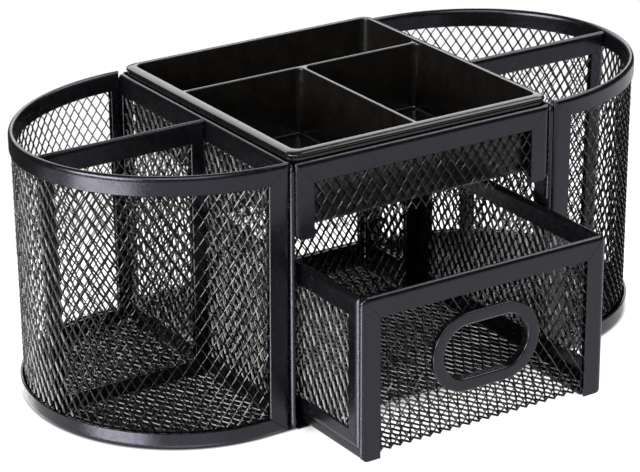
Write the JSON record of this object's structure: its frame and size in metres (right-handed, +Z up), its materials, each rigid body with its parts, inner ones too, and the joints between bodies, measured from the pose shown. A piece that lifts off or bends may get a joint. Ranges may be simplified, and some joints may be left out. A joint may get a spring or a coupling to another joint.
{
  "type": "pen stand with drawer",
  "caption": "Desk pen stand of expanded steel mesh in folded hems: a square housing with a pull-out drawer and a lift-out tray, between rounded divided cups.",
  "frame": {"origin": "middle of the underside of the housing's floor, on the desk", "axes": "+X along the stand from the left cup to the right cup, -Y the front where the drawer opens, +Z up"},
  "size_m": [0.25, 0.1551, 0.1024],
  "materials": {
    "mesh": "black powder coat on expanded steel mesh, satin",
    "hem": "black powder coat on folded sheet steel, satin",
    "tray": "black moulded plastic, satin"
  },
  "bodies": {
    "stand": {"box_floor_frame": "hem", "box_floor_mesh": "mesh", "box_front_frame": "hem", "box_front_mesh": "mesh", "box_rear_frame": "hem", "box_rear_mesh": "mesh", "box_side_frame_left": "hem", "box_side_frame_right": "hem", "box_side_mesh_left": "mesh", "box_side_mesh_right": "mesh", "cup_base_ring_left": "hem", "cup_base_ring_right": "hem", "cup_divider_frame_left": "hem", "cup_divider_frame_right": "hem", "cup_divider_mesh_left": "mesh", "cup_divider_mesh_right": "mesh", "cup_floor_mesh_left": "mesh", "cup_floor_mesh_right": "mesh", "cup_front_post_left": "hem", "cup_front_post_right": "hem", "cup_rear_post_left": "hem", "cup_rear_post_right": "hem", "cup_rim_left": "hem", "cup_rim_right": "hem", "cup_wall_mesh_left": "mesh", "cup_wall_mesh_right": "mesh"},
    "drawer": {"drawer_front_frame": "hem", "drawer_rear_frame": "hem", "drawer_runner_left": "hem", "drawer_runner_right": "hem", "drawer_sheet_mesh": "mesh", "drawer_side_frame_left": "hem", "drawer_side_frame_right": "hem", "drawer_side_mesh_left": "mesh", "drawer_side_mesh_right": "mesh", "finger_ring_back": "hem", "finger_ring_front": "hem"},
    "tray": {"tray": "tray"}
  },
  "joints": [
    {"name": "drawer_slide", "type": "slide", "parent": "stand", "child": "drawer", "axis": [0, -1, 0], "range_m": [-0.0365, 0.0535]},
    {"name": "tray_lift", "type": "slide", "parent": "stand", "child": "tray", "axis": [0, 0, 1], "range_m": [0, 0.05]}
  ]
}
